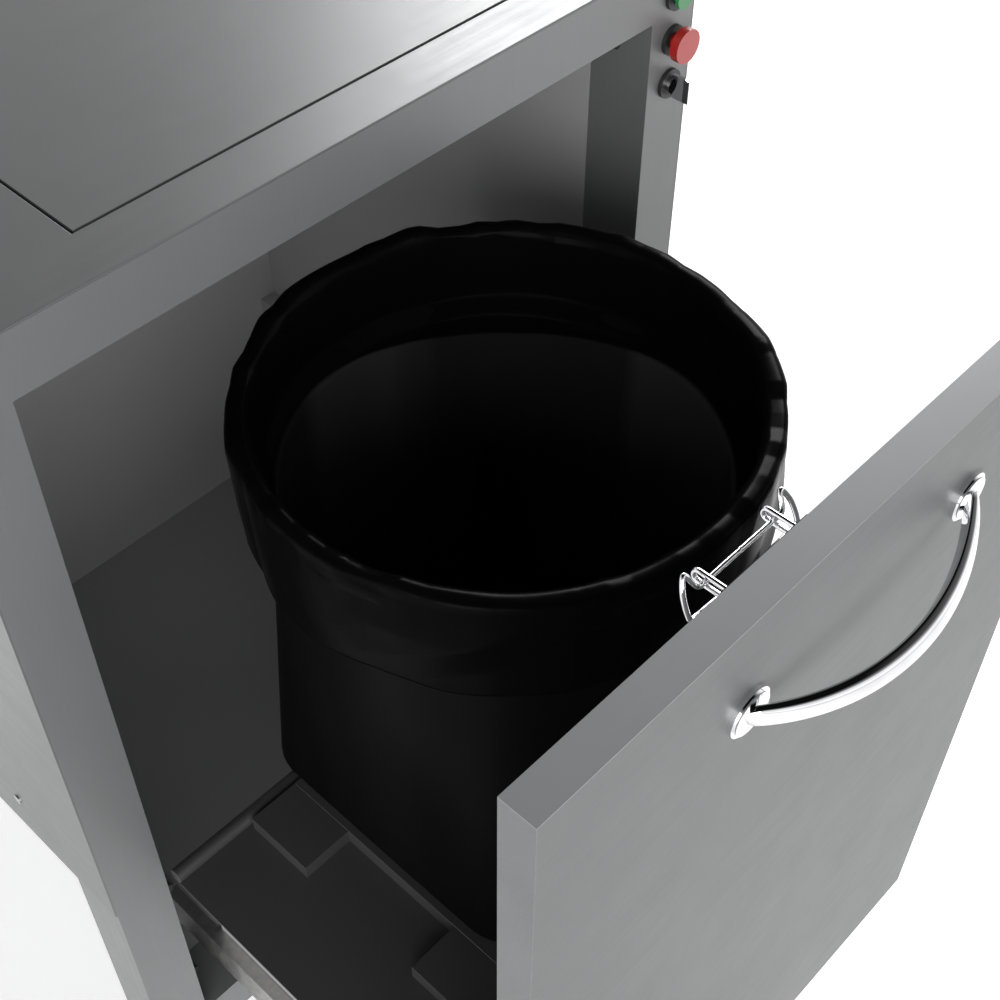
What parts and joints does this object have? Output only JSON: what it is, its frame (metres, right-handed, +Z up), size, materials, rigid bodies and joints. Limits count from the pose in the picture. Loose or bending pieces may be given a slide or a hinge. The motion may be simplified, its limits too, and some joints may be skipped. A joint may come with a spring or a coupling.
{
  "type": "trash compactor",
  "caption": "Under-counter trash compactor with a pull-out bin drawer, a bow handle, a top hatch and a telescopic press inside the cabinet.",
  "frame": {"origin": "on the floor, at the middle of the width and depth with the drawer pulled out", "axes": "+Z up, the drawer opens towards -Y, +X is the right side seen from the front"},
  "size_m": [0.6028, 0.909, 0.86],
  "materials": {
    "panel_steel": "satin, fine horizontal brushing",
    "frame_steel": "satin",
    "liner_steel": "satin grey",
    "dark_steel": "satin dark grey",
    "zinc_steel": "zinc plated",
    "chrome": "mirror polished",
    "press_paint": "semi-gloss",
    "bin_plastic": "moulded gloss black",
    "bag_film": "thin glossy black film",
    "black_plastic": "fine grain",
    "green_plastic": "gloss",
    "red_plastic": "gloss",
    "amber_lens": "translucent gloss",
    "board": "lacquered board",
    "rubber": "matte",
    "motor_iron": "painted casting",
    "pump_alloy": "machined"
  },
  "bodies": {
    "cabinet": {"front_frame": "panel_steel", "rear_frame": "frame_steel", "side_left": "panel_steel", "side_right": "panel_steel", "side_screws": "zinc_steel", "top_panel": "panel_steel", "hatch_frame": "dark_steel", "back_panel": "frame_steel", "back_screws": "zinc_steel", "tub": "liner_steel", "liner_left": "liner_steel", "liner_right": "liner_steel", "back_liner": "liner_steel", "front_buffers": "rubber", "slide_fixed": "zinc_steel", "press_beams": "dark_steel", "press_cap": "dark_steel", "press_barrel": "press_paint", "oil_tank": "dark_steel", "pump_block": "pump_alloy", "pump_motor": "motor_iron", "fan_cowl": "dark_steel", "oil_pipes": "zinc_steel", "pipe_grommets": "rubber", "signal_lamp": "amber_lens", "control_bezels": "black_plastic", "control_board": "board", "power_inlet": "black_plastic", "drawer_switch": "black_plastic", "foot_pads": "rubber", "foot_studs": "zinc_steel"},
    "hatch": {"hatch_lid": "panel_steel"},
    "slide_mid": {"slide_middle": "zinc_steel"},
    "drawer": {"slide_inner": "zinc_steel", "drawer_front": "panel_steel", "drawer_inner": "panel_steel", "drawer_plates": "liner_steel", "bin_tray": "frame_steel", "bin_platform": "frame_steel", "tray_brackets": "liner_steel", "bin": "bin_plastic", "bag": "bag_film", "handle_bow": "chrome", "handle_feet": "chrome", "handle_screws": "zinc_steel", "clip_lugs": "chrome"},
    "clip": {"clip_bail": "chrome"},
    "stage1": {"stage_1": "chrome"},
    "stage2": {"stage_2": "chrome"},
    "stage3": {"stage_3": "chrome"},
    "ram": {"stage_4": "chrome", "ram_plate": "press_paint", "ram_bolts": "zinc_steel"},
    "fan": {"motor_fan": "black_plastic"},
    "start": {"start_button": "green_plastic"},
    "stop": {"stop_button": "red_plastic"},
    "key": {"key_switch": "chrome"}
  },
  "joints": [
    {"name": "drawer_slide", "type": "slide", "parent": "cabinet", "child": "drawer", "axis": [0, 1, 0], "range_m": [0, 0.359]},
    {"name": "middle_slide", "type": "slide", "parent": "cabinet", "child": "slide_mid", "axis": [0, 1, 0], "range_m": [0, 0.1795]},
    {"name": "hatch_hinge", "type": "hinge", "parent": "cabinet", "child": "hatch", "pos_m": [0, 0.32803, 0.853], "axis": [-1, 0, 0], "range_deg": [0, 80]},
    {"name": "stage_1_slide", "type": "slide", "parent": "cabinet", "child": "stage1", "axis": [0, 0, -1], "range_m": [0, 0.056]},
    {"name": "stage_2_slide", "type": "slide", "parent": "stage1", "child": "stage2", "axis": [0, 0, -1], "range_m": [0, 0.056]},
    {"name": "stage_3_slide", "type": "slide", "parent": "stage2", "child": "stage3", "axis": [0, 0, -1], "range_m": [0, 0.056]},
    {"name": "ram_slide", "type": "slide", "parent": "stage3", "child": "ram", "axis": [0, 0, -1], "range_m": [0, 0.056]},
    {"name": "fan_spin", "type": "hinge", "parent": "cabinet", "child": "fan", "pos_m": [0.16, 0.03303, 0.1583], "axis": [0, 1, 0], "continuous": true},
    {"name": "start_press", "type": "slide", "parent": "cabinet", "child": "start", "axis": [0, 1, 0], "range_m": [0, 0.003], "stiffness_N_per_m": 400},
    {"name": "stop_press", "type": "slide", "parent": "cabinet", "child": "stop", "axis": [0, 1, 0], "range_m": [0, 0.003], "stiffness_N_per_m": 400},
    {"name": "key_turn", "type": "hinge", "parent": "cabinet", "child": "key", "pos_m": [0.2775, -0.05997, 0.762], "axis": [0, 1, 0], "range_deg": [0, 90]},
    {"name": "clip_swing", "type": "hinge", "parent": "drawer", "child": "clip", "pos_m": [-0.068, -0.37797, 0.8025], "axis": [1, 0, 0], "range_deg": [0, 100]}
  ],
  "couplings": [
    {"joint": "middle_slide", "follows": "drawer_slide", "ratio": 0.5},
    {"joint": "stage_2_slide", "follows": "stage_1_slide", "ratio": 1},
    {"joint": "stage_3_slide", "follows": "stage_1_slide", "ratio": 1},
    {"joint": "ram_slide", "follows": "stage_1_slide", "ratio": 1}
  ]
}
